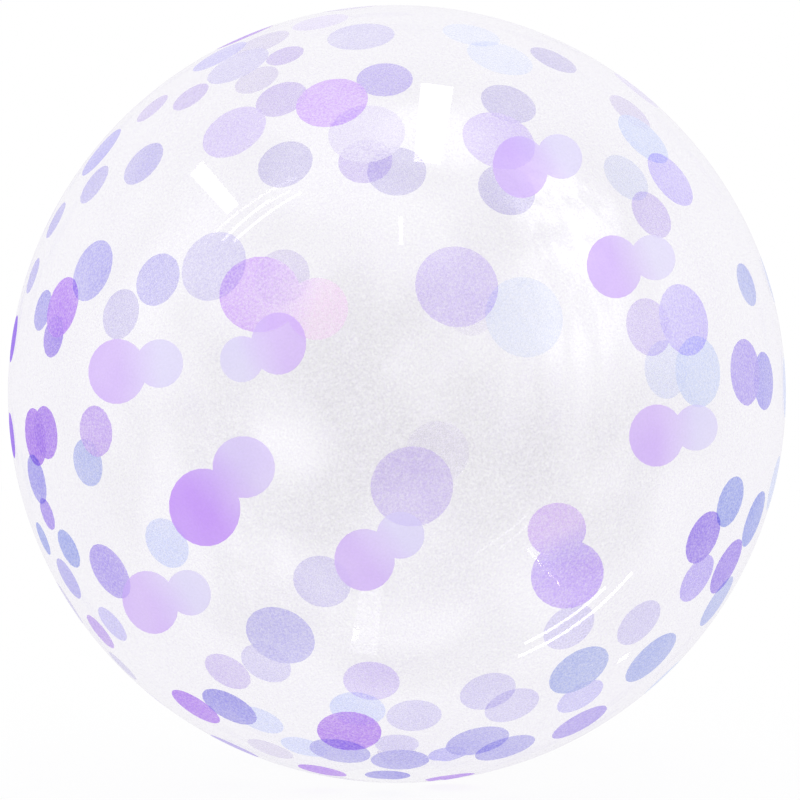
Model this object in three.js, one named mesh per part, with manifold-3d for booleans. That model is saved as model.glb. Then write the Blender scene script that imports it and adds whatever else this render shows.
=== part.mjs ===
// A clear bubble balloon: one sphere of blown film that ends in a short flat
// tail, where it was filled and sealed. The balloon rests on the small flat
// spot that its weight presses into the film, neck down, and the tail is
// folded back underneath it. The sealed bubble is modelled as a solid.
// Millimetres, +Z up, origin at the middle of the flat spot.
import * as THREE from 'three';
import { mergeVertices } from 'three/addons/utils/BufferGeometryUtils.js';
import Module from 'manifold-3d';

// Bubble: a 22 inch size, fully inflated.
const BUBBLE_DIAMETER = 560;
const FLAT_SPOT_RADIUS = 40;
const STEPS_AROUND = 72;
const STEPS_UP = 36;

// Neck: the film gathered into a thick strap that leaves the bubble towards +Y.
const NECK_ROOT = 20;
const NECK_END = 66;
const NECK_WIDTH = 18;
const NECK_THICKNESS = 2.6;

// Tail: the flat sealed end of the neck, laid on just clear of the floor.
const TAIL_ROOT = 60;
const TAIL_END = 125;
const TAIL_ROOT_WIDTH = 22;
const TAIL_END_WIDTH = 30;
const TAIL_CORNER_RADIUS = 5;
const TAIL_THICKNESS = 1.2;
const FLOOR_GAP = 0.3;

const bubbleRadius = BUBBLE_DIAMETER / 2;
const centreHeight = Math.sqrt(bubbleRadius ** 2 - FLAT_SPOT_RADIUS ** 2);

const film = new THREE.MeshStandardMaterial({
  color: 0xeeedf6,
  roughness: 0.06,
  metalness: 0,
});

const wasm = await Module();
wasm.setup();

// Turns a closed three.js geometry into a manifold solid.
function toSolid(geometry) {
  const bare = geometry.clone();
  bare.deleteAttribute('normal');
  bare.deleteAttribute('uv');
  const merged = mergeVertices(bare, 1e-3);
  return new wasm.Manifold(new wasm.Mesh({
    numProp: 3,
    vertProperties: new Float32Array(merged.attributes.position.array),
    triVerts: new Uint32Array(merged.index.array),
  }));
}

// Turns a manifold solid back into a three.js geometry.
function toGeometry(solid) {
  const mesh = solid.getMesh();
  const geometry = new THREE.BufferGeometry();
  geometry.setAttribute('position', new THREE.BufferAttribute(mesh.vertProperties, 3));
  geometry.setIndex(new THREE.BufferAttribute(mesh.triVerts, 1));
  geometry.computeVertexNormals();
  return geometry;
}

// The bubble: a circle's arc from the rim of the flat spot up to the top,
// turned about the vertical axis.
function bubbleGeometry() {
  const profile = [new THREE.Vector2(0, 0)];
  const rimAngle = Math.asin(FLAT_SPOT_RADIUS / bubbleRadius);
  for (let step = 0; step < STEPS_UP; step += 1) {
    const angle = rimAngle + (Math.PI - rimAngle) * (step / STEPS_UP);
    profile.push(new THREE.Vector2(
      bubbleRadius * Math.sin(angle),
      centreHeight - bubbleRadius * Math.cos(angle),
    ));
  }
  profile.push(new THREE.Vector2(0, centreHeight + bubbleRadius));
  const geometry = new THREE.LatheGeometry(profile, STEPS_AROUND);
  geometry.rotateX(Math.PI / 2);
  return geometry;
}

// The neck: a straight strap with a half-round end over the tail's root.
function neckOutline() {
  const half = NECK_WIDTH / 2;
  const outline = new THREE.Shape();
  outline.moveTo(-half, NECK_ROOT);
  outline.lineTo(half, NECK_ROOT);
  outline.absarc(0, NECK_END - half, half, 0, Math.PI);
  outline.closePath();
  return outline;
}

// The tail: a tongue that widens from its root to its rounded end.
function tailOutline() {
  const root = TAIL_ROOT_WIDTH / 2;
  const end = TAIL_END_WIDTH / 2;
  const corner = TAIL_CORNER_RADIUS;
  const outline = new THREE.Shape();
  outline.moveTo(-root, TAIL_ROOT);
  outline.lineTo(root, TAIL_ROOT);
  outline.lineTo(end, TAIL_END - corner);
  outline.absarc(end - corner, TAIL_END - corner, corner, 0, Math.PI / 2);
  outline.absarc(corner - end, TAIL_END - corner, corner, Math.PI / 2, Math.PI);
  outline.closePath();
  return outline;
}

// A flat layer of film of this outline, lying just above the floor.
function layerGeometry(outline, thickness) {
  const geometry = new THREE.ExtrudeGeometry(outline, {
    depth: thickness,
    bevelEnabled: false,
    curveSegments: 8,
  });
  geometry.translate(0, 0, FLOOR_GAP);
  return geometry;
}

const solid = toSolid(bubbleGeometry())
  .add(toSolid(layerGeometry(neckOutline(), NECK_THICKNESS)))
  .add(toSolid(layerGeometry(tailOutline(), TAIL_THICKNESS)));
const bubble = new THREE.Mesh(toGeometry(solid), film);
bubble.name = 'bubble';

const balloon = new THREE.Group();
balloon.add(bubble);

export default balloon;
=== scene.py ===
# %% [markdown]
# # A clear bubble balloon with printed dots
# The balloon is one skin of clear stretch film, blown to a sphere and printed
# with round dots of thin ink. It rests on a small flat spot, and the neck it
# was filled through is folded back flat underneath. This lesson spins the
# sphere from an arc, stamps the outline of each dot into the film, draws the
# neck out of the film's own faces, and lights it in a white studio.

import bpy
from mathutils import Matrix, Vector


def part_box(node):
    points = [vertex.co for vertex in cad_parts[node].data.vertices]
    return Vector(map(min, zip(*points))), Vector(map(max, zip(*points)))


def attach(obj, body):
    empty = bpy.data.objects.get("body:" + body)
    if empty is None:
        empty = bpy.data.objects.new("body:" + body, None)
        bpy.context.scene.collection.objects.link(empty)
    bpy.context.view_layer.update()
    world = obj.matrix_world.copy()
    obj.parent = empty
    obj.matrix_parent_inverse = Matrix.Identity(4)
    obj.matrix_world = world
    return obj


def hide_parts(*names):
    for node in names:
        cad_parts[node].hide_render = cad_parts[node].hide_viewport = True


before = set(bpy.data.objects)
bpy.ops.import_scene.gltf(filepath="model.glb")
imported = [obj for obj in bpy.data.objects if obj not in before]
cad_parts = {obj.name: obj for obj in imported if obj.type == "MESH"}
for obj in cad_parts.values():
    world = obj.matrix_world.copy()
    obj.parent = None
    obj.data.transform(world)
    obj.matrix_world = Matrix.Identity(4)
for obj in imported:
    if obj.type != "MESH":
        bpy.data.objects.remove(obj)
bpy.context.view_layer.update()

import math

import bmesh
import bpy
from mathutils import Matrix, Vector
from mathutils.kdtree import KDTree

# The solid's facets lie a hair inside its sphere, so its half width is rounded
# up to the whole millimetre that it stands for.
bubble_low, bubble_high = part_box("bubble")
RADIUS = round((bubble_high.x - bubble_low.x) / 2, 3)
CENTRE = Vector((0, 0, bubble_high.z - RADIUS))
FLAT_SPOT = math.sqrt(RADIUS**2 - CENTRE.z**2)
# Corners of the film nearer to each other than this are taken as one.
WELD = 1e-5
print(f"bubble {RADIUS * 2000:.0f} mm across, flat spot {FLAT_SPOT * 1000:.0f} mm in radius")

# %% [markdown]
# ## Helpers
# Colours are chosen as sRGB hex values, the way an ink maker writes them, and
# the renderer wants them linear, so one function turns them. One more adds a
# shader node with its settings and links in a single call, so that each
# material below reads as a list of what it is made of.


# %% Helpers for colours and nodes
def linear(code):
    """Turns an sRGB hex colour into the linear one that the renderer uses."""
    parts = [int(code[i : i + 2], 16) / 255 for i in (0, 2, 4)]
    return tuple(p / 12.92 if p <= 0.04045 else ((p + 0.055) / 1.055) ** 2.4 for p in parts) + (1.0,)


def node(tree, kind, sockets=None, **settings):
    """Adds a node. A socket takes a plain value or a link; the rest are the node's own options."""
    made = tree.nodes.new(kind)
    for name, value in settings.items():
        setattr(made, name, value)
    for name, value in (sockets or {}).items():
        if isinstance(value, bpy.types.NodeSocket):
            tree.links.new(value, made.inputs[name])
        else:
            made.inputs[name].default_value = value
    return made


def new_tree(name):
    """Starts a material with nothing in it."""
    material = bpy.data.materials.new(name)
    material.use_nodes = True
    material.node_tree.nodes.clear()
    return material, material.node_tree


print("white in linear light:", linear("FFFFFF"))

# %% [markdown]
# ## Camera
# The eye is level with the middle of the balloon and about seven radii away,
# so that the near side looks a little larger than the far one. A sphere's
# outline is where sight lines just touch it, so the lens is worked out from
# the slope of such a line, to leave a narrow margin round the outline.

# %% Camera
VIEW_DISTANCE = 7.0 * RADIUS
OUTLINE_SHARE = 389 / 400
SENSOR_WIDTH = 36.0
# The balloon sits a touch to the left of the middle of the frame, and above it.
SHIFT_ACROSS, SHIFT_UP = 0.004, -0.0075
outline_slope = RADIUS / math.sqrt(VIEW_DISTANCE**2 - RADIUS**2)

camera_data = bpy.data.cameras.new("camera")
camera_data.sensor_width = SENSOR_WIDTH
camera_data.lens = SENSOR_WIDTH / 2 * OUTLINE_SHARE / outline_slope
camera_data.shift_x = SHIFT_ACROSS
camera_data.shift_y = SHIFT_UP
camera = bpy.data.objects.new("camera", camera_data)
camera.location = (0, -VIEW_DISTANCE, CENTRE.z)
camera.rotation_euler = (math.pi / 2, 0, 0)
scene = bpy.context.scene
scene.collection.objects.link(camera)
scene.camera = camera
scene.view_settings.view_transform = "Standard"
print(f"lens {camera_data.lens:.1f} mm at {VIEW_DISTANCE:.2f} m")

# %% [markdown]
# ## Studio
# Clear film shows only by what it mirrors, so the studio's look is chosen for
# its mirrored ray alone: white behind the balloon, a darker side with soft
# grey clouds behind the camera, and a window broken by blinds at upper right.
# The ray that lights the inks sees an even, white room, and the camera sees
# plain white. Three such rooms in one world are a Light Path node away.

# %% World helpers
# Plain noise keeps near its middle, so a cloud uses only that part of its range.
CLOUD_LOW, CLOUD_HIGH = 0.38, 0.62

world = bpy.data.worlds.new("studio")
world.use_nodes = True
scene.world = world
sky = world.node_tree
sky.nodes.clear()
way = node(sky, "ShaderNodeTexCoord").outputs["Generated"]
split = node(sky, "ShaderNodeSeparateXYZ", {"Vector": way})


def ramp(value, from_min, from_max, to_min, to_max):
    """A smooth step of the room's brightness."""
    spread = {"From Min": from_min, "From Max": from_max, "To Min": to_min, "To Max": to_max}
    made = node(
        sky, "ShaderNodeMapRange", {"Value": value, **spread}, interpolation_type="SMOOTHSTEP"
    )
    return made.outputs["Result"]


def total(*parts):
    """Several brightnesses added together."""
    whole = parts[0]
    for part in parts[1:]:
        whole = node(sky, "ShaderNodeMath", {0: whole, 1: part}).outputs["Value"]
    return whole


def glow(direction, inner, outer, strength):
    """A soft round patch of light, full within one angle of a direction and gone at another."""
    toward = Vector(direction).normalized()
    near = node(sky, "ShaderNodeVectorMath", {0: way, 1: toward}, operation="DOT_PRODUCT")
    edges = math.cos(math.radians(outer)), math.cos(math.radians(inner))
    return ramp(near.outputs["Value"], *edges, 0.0, strength)


def cloud(vector, scale, detail, low, high):
    """Soft noise over the room, between two brightnesses."""
    made = node(
        sky,
        "ShaderNodeTexNoise",
        {"Vector": vector, "Scale": scale, "Detail": detail, "Roughness": 0.5},
    )
    return ramp(made.outputs["Fac"], CLOUD_LOW, CLOUD_HIGH, low, high)


print(f"world: {world.name}, its room is read along {len(split.outputs)} axes")

# %% The mirrored room
# The clouds fade out towards the wall behind the balloon.
near_side = ramp(split.outputs["Y"], -0.1, 0.5, 1.0, 0.0)
all_round = cloud(way, 2.2, 0.6, -0.3, 0.34)
clouds = node(sky, "ShaderNodeMath", {0: all_round, 1: near_side}, operation="MULTIPLY")
# Blinds are noise drawn out tall and narrow.
slats = node(sky, "ShaderNodeMapping", {"Vector": way, "Scale": (11.0, 11.0, 0.7)})
panes = total(
    glow((0.64, -0.25, 0.73), 3, 20, 1.5),
    glow((0.74, -0.53, 0.42), 4, 22, 0.7),
    glow((0.70, -0.70, 0.10), 4, 20, 0.4),
)
blinds = cloud(slats.outputs["Vector"], 1.0, 3.0, 0.35, 1.3)
window = node(sky, "ShaderNodeMath", {0: panes, 1: blinds}, operation="MULTIPLY")
mirrored_room = total(
    ramp(split.outputs["Y"], -1.0, -0.3, 0.13, 0.85),
    ramp(split.outputs["Y"], -0.1, 0.95, 0.0, 0.25),
    ramp(split.outputs["Z"], -0.4, 0.5, -0.08, 0.15),
    clouds.outputs["Value"],
    window.outputs["Value"],
    glow((0.13, -0.2, 0.97), 3, 15, 0.8),
    glow((-0.2, -0.5, 0.84), 5, 40, 0.2),
    glow((-0.52, -0.81, -0.27), 2, 13, 0.8),
    glow((0.09, -0.69, 0.70), 5, 25, 0.15),
    glow((-0.80, -0.15, 0.58), 5, 30, 0.2),
    glow((0.81, -0.48, -0.34), 5, 32, -0.45),
)
print(f"mirrored room: {len(sky.nodes)} nodes")

# %% The three rooms
# What lights the inks is dullest low down in front, and brightest level with them.
lighting_room = total(
    1.12, glow((0, -0.7, -0.7), 10, 100, -0.22), glow((0, -1, 0.1), 5, 45, 0.12)
)
path = node(sky, "ShaderNodeLightPath")
level = node(
    sky,
    "ShaderNodeMix",
    {0: path.outputs["Is Glossy Ray"], 2: lighting_room, 3: mirrored_room},
    data_type="FLOAT",
)
level = node(
    sky,
    "ShaderNodeMix",
    {0: path.outputs["Is Camera Ray"], 2: level.outputs[0], 3: 1.0},
    data_type="FLOAT",
)
light = node(
    sky, "ShaderNodeBackground", {"Color": linear("FFFFFF"), "Strength": level.outputs[0]}
)
node(sky, "ShaderNodeOutputWorld", {"Surface": light.outputs["Background"]})
print(f"studio: {len(sky.nodes)} nodes")

# %% [markdown]
# ## Floor
# The floor is a white table lit from below, as studios use, so that a clear
# thing standing on it has white under it as well as behind it. It keeps a
# trace of matt white, which catches the faint shadow where the film touches.

# %% Floor
FLOOR_RADIUS = 6.0
LIT_SHARE = 0.9
TABLE_GLOW = 0.987

floor_mesh = bmesh.new()
bmesh.ops.create_circle(floor_mesh, cap_ends=True, segments=128, radius=FLOOR_RADIUS)
floor_data = bpy.data.meshes.new("floor")
floor_mesh.to_mesh(floor_data)
floor_mesh.free()
floor = bpy.data.objects.new("floor", floor_data)
scene.collection.objects.link(floor)
floor.visible_diffuse = False
floor.visible_glossy = False

# Opal acrylic, lit from below: an even glow with a little matt white in it.
table, tree = new_tree("lit_opal_acrylic")
matt = node(tree, "ShaderNodeBsdfDiffuse", {"Color": linear("FFFFFF")})
lit = node(tree, "ShaderNodeEmission", {"Color": linear("FFFFFF"), "Strength": TABLE_GLOW})
mix = node(
    tree, "ShaderNodeMixShader", {0: LIT_SHARE, 1: matt.outputs["BSDF"], 2: lit.outputs["Emission"]}
)
node(tree, "ShaderNodeOutputMaterial", {"Surface": mix.outputs["Shader"]})
floor_data.materials.append(table)
print(f"floor {FLOOR_RADIUS * 2:.0f} m across")

# %% [markdown]
# ## Lamps
# A round mirror squeezes the whole room into its face, so each lamp shows as
# a small crisp bar. The outside of the film mirrors it once, and the inside of
# the far skin mirrors it again, upside down and fainter. A soft box gives the
# wide bar, and the tube inside it is bright enough to show in the far skin
# too. Each lamp is placed by its direction from the balloon and its size by
# the angle that it fills, so that it can be moved without losing its shape.

# %% Lamps
LAMP_DISTANCE = 2.3


def strip(name, direction, along, length, width, radiance):
    """A flat lamp: its direction, the way its length runs, and its length and width in degrees."""
    toward = Vector(direction).normalized()
    up = (Vector(along) - Vector(along).dot(toward) * toward).normalized()
    data = bpy.data.lights.new(name, "AREA")
    data.shape = "RECTANGLE"
    data.size = 2 * LAMP_DISTANCE * math.tan(math.radians(width) / 2)
    data.size_y = 2 * LAMP_DISTANCE * math.tan(math.radians(length) / 2)
    data.energy = radiance * math.pi * data.size * data.size_y
    made = bpy.data.objects.new(name, data)
    turn = Matrix((up.cross(toward), up, toward)).transposed().to_4x4()
    made.matrix_world = Matrix.Translation(CENTRE + toward * LAMP_DISTANCE) @ turn
    made.visible_camera = False
    made.visible_diffuse = False
    scene.collection.objects.link(made)
    return made


lamps = [
    strip("box_above", (0.128, -0.17, 0.977), (0, 1, 0), 30, 6.2, 2.6),
    strip("tube_above", (0.168, -0.04, 0.985), (0, 1, 0), 6, 1.4, 16),
    strip("box_left", (-0.652, -0.17, 0.735), (0, 1, 0), 21, 3.4, 2.6),
    strip("tube_left", (-0.640, -0.15, 0.755), (-0.1, 1, 0.1), 20, 0.5, 45),
    strip("window_edge_a", (-0.592, -0.43, 0.681), (0.18, 0, 0.16), 14, 0.7, 3.5),
    strip("window_edge_b", (-0.518, -0.479, 0.709), (0.26, 0, 0.19), 19, 0.7, 3.5),
    strip("table_edge_a", (0.625, -0.06, -0.775), (0.36, 0.04, 0.29), 28, 1.0, 6),
    strip("table_edge_b", (0.60, -0.13, -0.79), (0.36, 0.04, 0.29), 20, 0.9, 6),
    strip("lamp_low", (0.595, 0.404, -0.694), (0, 0, 1), 2, 1.5, 8),
    strip("lamp_front", (0.017, -0.72, 0.69), (0, 0.69, 0.72), 8, 0.9, 3),
]
print(f"{len(lamps)} lamps")

# %% [markdown]
# ## Bubble
# A bubble blown from stretch film is a surface of revolution about its neck.
# A single point is spun about the bubble's centre to make an arc, a short line
# closes the arc across the flat spot, and the arc is spun about the upright
# axis. Spinning leaves fine, even faces, narrowest near the neck, which is
# where the film has its finest folds. The many ends that meet at the top and
# in the middle of the flat spot are merged, so that both poles are closed.

# %% Spin the bubble
STEPS_AROUND = 320
STEPS_UP = 150
RINGS_IN_SPOT = 8

film_mesh = bmesh.new()
rim = film_mesh.verts.new((FLAT_SPOT, 0, 0))
bmesh.ops.spin(
    film_mesh,
    geom=[rim],
    cent=CENTRE,
    axis=(0, -1, 0),
    angle=math.pi - math.asin(FLAT_SPOT / RADIUS),
    steps=STEPS_UP,
)
pole = film_mesh.verts.new((0, 0, 0))
floor_line = film_mesh.edges.new((pole, rim))
bmesh.ops.subdivide_edges(film_mesh, edges=[floor_line], cuts=RINGS_IN_SPOT - 1)
bmesh.ops.spin(
    film_mesh,
    geom=film_mesh.verts[:] + film_mesh.edges[:],
    cent=(0, 0, 0),
    axis=(0, 0, 1),
    angle=2 * math.pi,
    steps=STEPS_AROUND,
    use_merge=True,
)
bmesh.ops.remove_doubles(film_mesh, verts=film_mesh.verts, dist=WELD)
bmesh.ops.recalc_face_normals(film_mesh, faces=film_mesh.faces)
print(f"bubble spun: {len(film_mesh.faces)} faces, top at {max(v.co.z for v in film_mesh.verts):.4f} m")

# %% [markdown]
# ## Inks and dots
# The dots are printed in violets, lilacs and blues, each in one ink, and laid
# over each other freely. Many of the shades are painted light and shade, not
# inks of their own: on the near skin a dot is given a paler shade high up and a
# deeper one low down, and on the far skin a greyer one high up and a paler one
# low down. Each is placed as on a globe: degrees around from the front, degrees
# up from the middle, and its diameter in millimetres, or the width and height
# of an oval one. The front of the balloon runs from -90 to 90 degrees, and the
# rest is the far skin.

# %% Inks and dots
# Many of these shades are painted light and shade: paler, greyer and deeper copies of a few inks, each
# given to dots by where the light fell on them.
INKS_AND_PAINTED_SHADE = {
    "grape": "9A62F4",
    "deep_violet": "BD94F4",
    "violet": "CAA2FA",
    "plum": "B8A2F4",
    "iris": "C8BAF8",
    "soft_iris": "DCD3FF",
    "slate": "B9B4F4",
    "orchid": "D6BFF8",
    "soft_violet": "E2C6FF",
    "lilac": "E6DCFC",
    "pale_lilac": "EFEAFB",
    "faint_lilac": "FCFAFF",
    "periwinkle": "CCC8F8",
    "soft_periwinkle": "D9D5FA",
    "pale_periwinkle": "E4E0F8",
    "deep_blue": "B4BCF3",
    "blue": "C6CDF6",
    "pale_blue": "E3E9FF",
    "faint_blue": "EFF2FF",
}
DOTS = {
    "grape": [(-77, 8, 34), (-77, -6, 33)],
    "deep_violet": [(-62, -6, 40), (-107, -6, 41)],
    "violet": [
        (-73, 66, 44), (-55, 12, 42), (-50, -50, 39), (-11, -53.5, 43, 31), (-33, -70, 35),
        (31, -75, 36),
    ],
    "plum": [(-109, 9, 33), (-63, -17, 24), (51, -20, 38), (63, -25, 42)],
    "iris": [(57, 3, 45), (-49, -25, 41), (110, -30, 41), (50, -54, 43), (-65, -63, 38)],
    "soft_iris": [(-176, 61, 44), (50, 31, 43), (43, 10, 48)],
    "slate": [(-103, 13, 32), (101, 2, 44), (-64, -12, 35), (-38, -49, 41), (-4, -71, 32)],
    "orchid": [(-45, -5, 34), (-65, -36, 30)],
    "soft_violet": [(-12, 43, 48)],
    "lilac": [
        (-132, 66, 30), (-113, 53, 32), (-146, 55, 42), (-100, 49, 30), (-173, 42, 44),
        (-29, 38, 46), (17, 36, 49), (125, 30, 41), (8, 14, 53), (133, 11, 47),
        (2, -12, 52), (-32, -41, 34), (-77, -51, 24), (-173, -54, 45),
    ],
    "pale_lilac": [
        (-43, 80, 40), (-29, 67, 40), (-107, 68, 44), (-132, 59, 36), (70, 50, 40), (108, 49, 38),
        (-5, 37, 50), (-159, 20, 48), (-40, -61, 34),
    ],
    "faint_lilac": [(167, 14, 40), (173, -10, 53)],
    "periwinkle": [
        (-67, 37, 42), (-92, 27, 30), (-92, 18, 28), (-49, 17, 43), (-65, -27, 32), (21, -57, 44),
        (32, -60, 43), (148, -75, 30), (-16, -60, 42), (1, -63, 40),
    ],
    "soft_periwinkle": [
        (-54, 57, 42), (-103, 34, 34), (-117, 39, 40), (-134, 19, 44), (-19, -34, 47), (-105, -38, 32),
        (120, -55, 40),
    ],
    "pale_periwinkle": [
        (-10, 60, 46), (-40, 53, 46), (148, 54, 45), (-155, 41, 46), (180, 40, 48), (157, 36, 48),
        (113, 63, 38), (-26, 17, 47), (-127, 13, 41), (-165, -33, 48), (-78, -32, 36), (121, -39, 43),
        (140, -41, 45), (-70, -43, 28), (-146, -49, 42), (153, -56, 45), (142, -59, 44), (174, -63, 43),
        (180, -72, 34),
    ],
    "deep_blue": [(56, -15, 36), (68, -18, 41), (-70, -21, 25), (-59, -22, 29)],
    "blue": [
        (102, 17, 34), (-119, -11, 38), (68, -31, 41), (54, -40, 46), (35, -41, 45),
    ],
    "pale_blue": [
        (49, 38, 44), (83, 17, 36), (45, 3, 47), (80, 1, 44), (77, -13, 40), (-134, -25, 43),
        (76, -46, 36), (-167, -61, 44), (-128, -62, 38), (-130, -71, 36),
    ],
    "faint_blue": [(22, 61, 40), (25, 54, 46), (127, 37, 43), (17, 10, 52), (130, 4, 47)],
}
print(f"{sum(len(spots) for spots in DOTS.values())} single dots in {len(INKS_AND_PAINTED_SHADE)} inks")

# %% [markdown]
# Ten prints are double: a large lobe and a small one run into each other, and
# one ink fades into the next across the pair. The lobes are stretched so that
# they look round from the front even where the bubble curves away. Such a lobe
# is what a round rod, pushed from front to back, would cut out of the film, so
# its outline is a ring of flat planes that all run from front to back. The
# dots of one ink are true circles, apart from an oval one that is cut so too.

# %% Outlines of the prints
BLENDS = {
    "cool": ["E1C9FF", "E6D7FF", "EAE5FF"],
    "strong": ["D5AEFF", "DDC3FF", "E6DAFF"],
    "warm": ["E5C9FF", "F0DBFF", "FFEEFF"],
    "rose": ["D8C2FF", "DCCCFF", "EAD6FF"],
}
# Each pair: its blend, then the large lobe and the small one, as degrees
# around, degrees up, and the width and height in millimetres, from the front.
TWINS = [
    ("cool", (19.5, 31.5, 36, 42), (27, 33.5, 30, 31)),
    ("cool", (31.5, 17, 37, 41), (39, 18.5, 31, 30)),
    ("cool", (37, -5.5, 38, 40), (44.5, -4.5, 32, 30)),
    ("strong", (-27, -15, 47, 50), (-20.5, -9.5, 40, 39)),
    ("cool", (-42, -29.5, 40, 44), (-33, -27.5, 30, 31)),
    ("cool", (-4.5, -22, 38, 40), (0.5, -18.5, 30, 30)),
    ("cool", (-40.5, 3, 41, 42), (-33, 4, 32, 31)),
    ("cool", (-15.5, 6.5, 35, 39), (-20.5, 4.5, 28, 29)),
    ("warm", (-18.5, 13, 52, 48), (-10.5, 11, 39, 39)),
    ("rose", (25.5, -24.5, 48, 45), (22.5, -18, 38, 35)),
]
SMOOTH_BLENDS = ("cool", "strong")
LOBE_SIDES = 24


def facing(around, up):
    """The direction out from the centre, in degrees around from the front and up from level."""
    a, u = math.radians(around), math.radians(up)
    return Vector((math.sin(a) * math.cos(u), -math.cos(a) * math.cos(u), math.sin(u)))


# An outline is the direction of its middle, how far it reaches from there,
# and its planes, each a point and the way out of the print. A 2000th of a
# width in millimetres is half of it in metres.
def dot(around, up, diameter):
    """A true circle: the slice of the sphere beyond one plane."""
    middle = facing(around, up)
    reach = diameter / 2000
    return middle, reach, [(CENTRE + middle * math.sqrt(RADIUS**2 - reach**2), -middle)]


def lobe(around, up, width, height):
    """An oval that looks upright from the front, within a ring of planes."""
    middle = facing(around, up)
    planes = []
    for side in range(LOBE_SIDES):
        turn = 2 * math.pi * side / LOBE_SIDES
        outward = Vector((math.cos(turn), 0, math.sin(turn)))
        reach = math.hypot(width * outward.x, height * outward.z) / 2000
        planes.append((CENTRE + middle * RADIUS + outward * reach, outward))
    return middle, max(width, height) / 2000 / -middle.y, planes


print(f"a circle takes one plane, an oval {LOBE_SIDES}")

# %% Colours of the prints
def plain(ink):
    """A print of one even colour."""
    colour = linear(ink)[:3]
    return lambda point: colour


def blended(stops, start, end):
    """A print whose colour runs through three inks from one point to another."""
    run = end - start
    first, second, third = [Vector(linear(code)[:3]) for code in stops]

    def colour(point):
        share = 2 * min(max((point - start).dot(run) / run.length_squared, 0), 1)
        return first.lerp(second, share) if share < 1 else second.lerp(third, share - 1)

    return colour


prints = []
for ink, spots in DOTS.items():
    for spot in spots:
        outline = lobe(*spot) if len(spot) == 4 else dot(*spot)
        prints.append((plain(INKS_AND_PAINTED_SHADE[ink]), [outline]))
smooth_prints = set()
for blend, large, small in TWINS:
    if blend in SMOOTH_BLENDS:
        smooth_prints.add(len(prints))
    start, end = [CENTRE + facing(*spot[:2]) * RADIUS for spot in (large, small)]
    prints.append((blended(BLENDS[blend], start, end), [lobe(*large), lobe(*small)]))
print(f"{len(prints)} prints, of which {len(TWINS)} are double")

# %% [markdown]
# ## Stamping
# A round print is where a plane slices the sphere, so a dot is stamped by
# bisecting the film near it with a plane: the cut is a true circle, and the
# faces beyond the plane take the ink. An oval takes one cut after another.
# Nothing is raised, because ink is only colour. Each face keeps the set of all
# the prints that cover it.

# %% Stamp the dots
MARGIN = 0.012
FLOOR_LEVEL = 1e-4

film_mesh.verts.ensure_lookup_table()
first_verts = film_mesh.verts[:]
cut_verts = []
places = KDTree(len(first_verts))
for number, vert in enumerate(first_verts):
    places.insert(vert.co, number)
places.balance()


def faces_near(middle, reach):
    """The film's faces with a corner in or just round a print."""
    point, reach = CENTRE + middle * RADIUS, reach + MARGIN
    corners = [first_verts[number] for _, number, _ in places.find_range(point, reach)]
    corners += [vert for vert in cut_verts if (vert.co - point).length < reach]
    return {face for corner in corners for face in corner.link_faces}


def stamp(middle, reach, planes):
    """Cuts one outline into the film, and lays each new corner on the true sphere."""
    near = faces_near(middle, reach)
    around = {edge for face in near for edge in face.edges} | {v for face in near for v in face.verts}
    pieces = list(near) + list(around)
    for point, outward in planes:
        cut = bmesh.ops.bisect_plane(
            film_mesh, geom=pieces, dist=WELD, plane_co=point, plane_no=outward
        )
        pieces = cut["geom"]
        for item in cut["geom_cut"]:
            if isinstance(item, bmesh.types.BMVert):
                cut_verts.append(item)
                if item.co.z > FLOOR_LEVEL:
                    item.co = CENTRE + (item.co - CENTRE).normalized() * RADIUS


def covered(middle, reach, planes):
    """The faces inside one outline."""
    middles = {face: face.calc_center_median() for face in faces_near(middle, reach)}
    return [
        face
        for face, co in middles.items()
        if all((co - point).dot(outward) < 0 for point, outward in planes)
    ]


for colour, outlines in prints:
    for outline in outlines:
        stamp(*outline)
inked = {}
for number, (colour, outlines) in enumerate(prints):
    for outline in outlines:
        for face in covered(*outline):
            inked.setdefault(face, set()).add(number)
print(f"{len(inked)} printed faces of {len(film_mesh.faces)}")

# %% [markdown]
# Where dots lie over each other their inks multiply, as thin inks do. The
# smooth ink of the double dots is thicker, and lets only a part of what lies
# under it show. The colour goes onto the corners of each face as an
# attribute, and its fourth value says how much of the film is covered. There
# are four materials: the bare film is number 0, and the speckled ink, the
# smooth ink and the gathered film of the neck come after it.

# %% Ink the faces
COVER = 0.75
UNDER_SHARE = 0.45
WHITE = Vector((1, 1, 1))
SPECKLED, SMOOTH, GATHERED = 1, 2, 3

ink_layer = film_mesh.loops.layers.float_color.new("ink")
for face, numbers in inked.items():
    on_top = numbers & smooth_prints
    face.material_index = SMOOTH if on_top else SPECKLED
    cover = 1 - (1 - COVER) ** len(numbers)
    for corner in face.loops:
        shade = WHITE.copy()
        for number in numbers:
            ink = Vector(prints[number][0](corner.vert.co))
            if on_top and number not in on_top:
                ink = WHITE.lerp(ink, UNDER_SHARE)
            shade *= ink
        corner[ink_layer] = (*shade, cover)
print(f"ink covers {COVER:.0%} of the film under one dot")

# %% [markdown]
# ## Neck and tail
# The balloon is filled through its neck and then sealed across it, and it
# rests with the sealed end folded back flat beneath it. The faces of the film
# at the edge of the flat spot are drawn out step by step, so that the neck and
# the tail are one skin with the bubble. The faces they were drawn from are
# taken out each time, because they would stay as walls inside the neck. The
# neck is the gathered part, narrow and thick; the tail is the wide flat end,
# with rounded corners.

# %% The neck's mouth
NECK_HALF_ANGLE = math.radians(11)
MOUTH_DEPTH = 0.0175


def in_mouth(face):
    """True for a face of the film that the neck is drawn from."""
    middle = face.calc_center_median()
    out = math.hypot(middle.x, middle.y)
    ahead = middle.y > 0 and abs(math.atan2(middle.x, middle.y)) < NECK_HALF_ANGLE
    return ahead and middle.z < CENTRE.z and FLAT_SPOT < out < FLAT_SPOT + MOUTH_DEPTH


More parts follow.
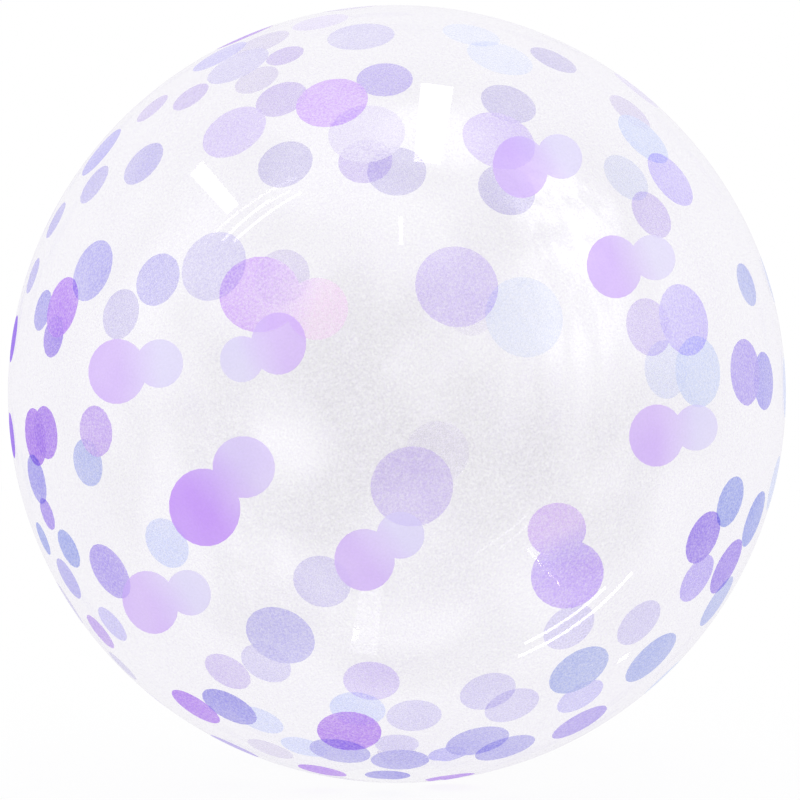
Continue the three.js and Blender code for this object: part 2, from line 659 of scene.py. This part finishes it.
def spread(values):
    """Each corner's value as a share of the way from the least to the greatest."""
    low, high = min(values.values()), max(values.values())
    return {vert: (value - low) / (high - low) for vert, value in values.items()}


mouth = [face for face in film_mesh.faces if in_mouth(face)]
for face in mouth:
    face.material_index = GATHERED
mouth_verts = {vert for face in mouth for vert in face.verts}
across = spread({vert: math.atan2(vert.co.x, vert.co.y) for vert in mouth_verts})
upward = spread({vert: math.hypot(vert.co.x, vert.co.y) for vert in mouth_verts})
# Each corner's place over the mouth: -1 to 1 across it, 0 to 1 up it.
place = {vert: (2 * across[vert] - 1, upward[vert]) for vert in mouth_verts}
print(f"the neck is drawn from {len(mouth)} faces")

# %% Draw out the neck and the tail
FLOOR_GAP = 0.0003
FOLD_HEIGHT = 0.0003
NECK_START, NECK_HALF, NECK_THICKNESS = 0.059, 0.009, 0.0026
TAIL_START, TAIL_END, CORNER = 0.067, 0.125, 0.005
TAIL_START_HALF, TAIL_END_HALF, TAIL_THICKNESS = 0.0112, 0.015, 0.0012
TAIL_STEPS = 8

# Each station: how far along, half its width, its thickness. The neck keeps
# its width, and then thins and widens into the tail over two short steps.
stations = [
    (NECK_START, NECK_HALF, NECK_THICKNESS),
    (0.063, NECK_HALF, 0.0024),
    (TAIL_START, 0.0108, 0.0014),
]
for step in range(1, TAIL_STEPS + 1):
    along = TAIL_START + (TAIL_END - CORNER - TAIL_START) * step / TAIL_STEPS
    half = TAIL_START_HALF + (TAIL_END_HALF - TAIL_START_HALF) * step / TAIL_STEPS
    stations.append((along, half, TAIL_THICKNESS))
for turn in (30, 60, 90):
    along = TAIL_END - CORNER + CORNER * math.sin(math.radians(turn))
    half = TAIL_END_HALF - CORNER + CORNER * math.cos(math.radians(turn))
    stations.append((along, half, TAIL_THICKNESS))

cap = mouth
for along, half, thickness in stations:
    ring = {vert.co.copy().freeze(): place[vert] for face in cap for vert in face.verts}
    drawn = bmesh.ops.extrude_face_region(film_mesh, geom=cap)["geom"]
    bmesh.ops.delete(film_mesh, geom=cap, context="FACES")
    cap = [item for item in drawn if isinstance(item, bmesh.types.BMFace)]
    for item in drawn:
        if isinstance(item, bmesh.types.BMVert):
            place[item] = ring[item.co.copy().freeze()]
    for vert in {vert for face in cap for vert in face.verts}:
        a, b = place[vert]
        fold = FOLD_HEIGHT * math.cos(4 * math.pi * a) * b * min(1, thickness / NECK_THICKNESS)
        vert.co = Vector((a * half, along, FLOOR_GAP + b * thickness + fold))
tail_end = max(vert.co.y for face in cap for vert in face.verts)
print(f"{len(stations)} stations, tail ends at {tail_end:.4f} m")

# %% [markdown]
# ## Pleats
# Film gathered into a neck lies in fine pleats round it, which fade as the
# film stretches out to the bubble's full width. They are pressed a little way
# into the bubble, all round the flat spot, and never out of it, so that the
# bubble keeps its size.

# %% Pleats
PLEATS = 28
PLEAT_DEPTH = 0.0012
PLEAT_END = 0.110
PLEAT_START_FADE = 0.006

pleated = 0
for vert in film_mesh.verts:
    out = math.hypot(vert.co.x, vert.co.y)
    underneath = FLAT_SPOT < out < PLEAT_END and FLOOR_LEVEL < vert.co.z < CENTRE.z
    if underneath and vert not in place:
        fade = (1 - (out - FLAT_SPOT) / (PLEAT_END - FLAT_SPOT)) ** 2
        fade *= min(1, (out - FLAT_SPOT) / PLEAT_START_FADE)
        wave = 0.5 - 0.5 * math.cos(PLEATS * math.atan2(vert.co.x, vert.co.y))
        vert.co += (CENTRE - vert.co).normalized() * PLEAT_DEPTH * fade * wave
        pleated += 1
print(f"{PLEATS} pleats pressed into {pleated} corners")

# %% [markdown]
# ## Film and ink
# The skin is a clear, glossy, very thin stretch film. It bends no light, so it
# is drawn as plain see-through with a mirror over it, faint face on and
# stronger edge on, as any clear plastic mirrors. Ink is the same film with a
# thin coat of pigment: some of the light goes through and is tinted, and the
# rest is scattered to both sides, so a dot partly hides what is behind it.

# %% Gloss and grain
GLOSS_EDGE = 0.25
INSIDE_SHARE = 0.25
# Fine wear is about 0.3 mm across; it is drawn at 1.2 mm, so that it shows.
WEAR_WIDTH = 0.0012
# Noise at this scale over a width has spots of about that width, and nearly
# all of it lies between these values.
SPOTS_PER_WIDTH = 0.6
NOISE_LOW, NOISE_HIGH = 0.3, 0.7


def speckle(tree, width, low, high):
    """Grain: a value between two limits, in spots of about this width in metres."""
    point = node(tree, "ShaderNodeTexCoord").outputs["Object"]
    noise = node(
        tree,
        "ShaderNodeTexNoise",
        {"Vector": point, "Scale": SPOTS_PER_WIDTH / width, "Detail": 1.0, "Roughness": 0.5},
    )
    limits = {"From Min": NOISE_LOW, "From Max": NOISE_HIGH, "To Min": low, "To Max": high}
    made = node(tree, "ShaderNodeMapRange", {"Value": noise.outputs["Fac"], **limits})
    return made.outputs["Result"]


def glossed(tree, under, gloss, wear, roughness):
    """Lays the film's gloss over a shader. The outside mirrors this share of the light face on,
    give or take the wear, and the duller inside a quarter of it."""
    weight = node(tree, "ShaderNodeLayerWeight", {"Blend": 0.5}).outputs["Facing"]
    steep = node(tree, "ShaderNodeMath", {0: weight, 1: 5.0}, operation="POWER")
    side = node(tree, "ShaderNodeNewGeometry").outputs["Backfacing"]
    face_on = node(
        tree, "ShaderNodeMapRange", {"Value": side, "To Min": gloss, "To Max": gloss * INSIDE_SHARE}
    )
    scuffs = speckle(tree, WEAR_WIDTH, 1 - wear, 1 + wear)
    worn = node(
        tree, "ShaderNodeMath", {0: face_on.outputs["Result"], 1: scuffs}, operation="MULTIPLY"
    )
    share = node(
        tree,
        "ShaderNodeMapRange",
        {"Value": steep.outputs["Value"], "To Min": worn.outputs["Value"], "To Max": GLOSS_EDGE},
    )
    mirror = node(tree, "ShaderNodeBsdfGlossy", {"Roughness": roughness})
    both = node(
        tree,
        "ShaderNodeMixShader",
        {0: share.outputs["Result"], 1: under.outputs["Shader"], 2: mirror.outputs["BSDF"]},
    )
    node(tree, "ShaderNodeOutputMaterial", {"Surface": both.outputs["Shader"]})


print(f"gloss edge on {GLOSS_EDGE:.0%}, the inside mirrors {INSIDE_SHARE:.0%} of the outside")

# %% A coated film
SCATTERED_THROUGH = 0.35
# Pigment grains are some 0.02 mm; they are drawn at about 1 mm, so that they
# show, over a slow drift of 30 mm in the coat's thickness, as a roller leaves.
GRAIN_WIDTH, CLUMP_WIDTH = 0.0009, 0.001
DRIFT_WIDTH, DRIFT = 0.03, 0.12


def coated(name, tint, cover, grain, gloss, wear, roughness):
    """A skin with a thin coat. The coat's tint and cover are plain, or come from the print where
    the tint is left out; the grain is how far its thickness varies from spot to spot."""
    material, tree = new_tree(name)
    if tint:
        colour, amount = linear(tint), 1.0
    else:
        ink = node(tree, "ShaderNodeAttribute", attribute_name="ink")
        colour, amount = ink.outputs["Color"], ink.outputs["Alpha"]
    grains = speckle(tree, GRAIN_WIDTH, 1 - grain, 1 + grain)
    drift = speckle(tree, DRIFT_WIDTH, 1 - DRIFT, 1 + DRIFT)
    thickness = node(tree, "ShaderNodeMath", {0: grains, 1: drift}, operation="MULTIPLY")
    coat = node(
        tree, "ShaderNodeGamma", {"Color": colour, "Gamma": thickness.outputs["Value"]}
    ).outputs["Color"]
    clear = node(tree, "ShaderNodeBsdfTransparent", {"Color": coat})
    back = node(tree, "ShaderNodeBsdfDiffuse", {"Color": coat})
    through = node(tree, "ShaderNodeBsdfTranslucent", {"Color": coat})
    pigment = node(
        tree,
        "ShaderNodeMixShader",
        {0: SCATTERED_THROUGH, 1: back.outputs["BSDF"], 2: through.outputs["BSDF"]},
    )
    clumps = speckle(tree, CLUMP_WIDTH, cover * (1 - grain), cover * (1 + grain))
    share = node(tree, "ShaderNodeMath", {0: amount, 1: clumps}, operation="MULTIPLY")
    mix = node(
        tree,
        "ShaderNodeMixShader",
        {0: share.outputs["Value"], 1: clear.outputs["BSDF"], 2: pigment.outputs["Shader"]},
    )
    glossed(tree, mix, gloss, wear, roughness)
    return material


materials = [
    # Clear polyurethane film, blown: nearly colourless, a crisp gloss, and a
    # trace of haze that turns the white behind it a soft grey.
    coated("clear_stretch_film", "FCFBFE", 0.015, 0.9, 0.10, 0.4, 0.02),
    # Screen ink on film: candy tints with a fine sandy grain under the gloss.
    coated("speckled_ink", None, 1.0, 0.3, 0.08, 0.2, 0.04),
    # Roller ink on film: smooth and even, with less gloss than the bare film.
    coated("smooth_ink", None, 1.0, 0.03, 0.04, 0.1, 0.03),
    # The same clear film, gathered: many layers look milky and faintly mauve.
    coated("gathered_film", "F5F2FD", 0.08, 0.5, 0.06, 0.5, 0.08),
]
print("materials:", ", ".join(material.name for material in materials))

# %% [markdown]
# ## Finish
# Cutting dots into the film leaves slivers, which smooth shading would bend
# the highlights over. The true normal of a corner on the sphere is the line
# out from the centre, so those are set one by one, and only the pleats, the flat
# spot, the neck and the tail keep the normals of their faces.

# %% Dress the balloon
for face in film_mesh.faces:
    face.smooth = True
open_edges = sum(not edge.is_contiguous for edge in film_mesh.edges)
print(f"edges that don't join exactly two faces turned the same way: {open_edges}")
film_data = bpy.data.meshes.new("balloon")
film_mesh.to_mesh(film_data)
film_mesh.free()
for material in materials:
    film_data.materials.append(material)


def true_normal(point):
    """The sphere's own normal, or none where the point isn't on the sphere."""
    out = point - CENTRE
    on_sphere = abs(out.length - RADIUS) < WELD and point.z > FLOOR_LEVEL
    return out.normalized() if on_sphere else Vector((0, 0, 0))


normals = [true_normal(vert.co) for vert in film_data.vertices]
film_data.normals_split_custom_set_from_vertices(normals)
balloon = bpy.data.objects.new("balloon", film_data)
scene.collection.objects.link(balloon)
film_data.calc_loop_triangles()
print(f"balloon: {len(film_data.loop_triangles)} triangles")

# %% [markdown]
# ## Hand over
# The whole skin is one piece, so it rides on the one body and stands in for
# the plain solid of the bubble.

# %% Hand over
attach(balloon, "root")
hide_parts("bubble")
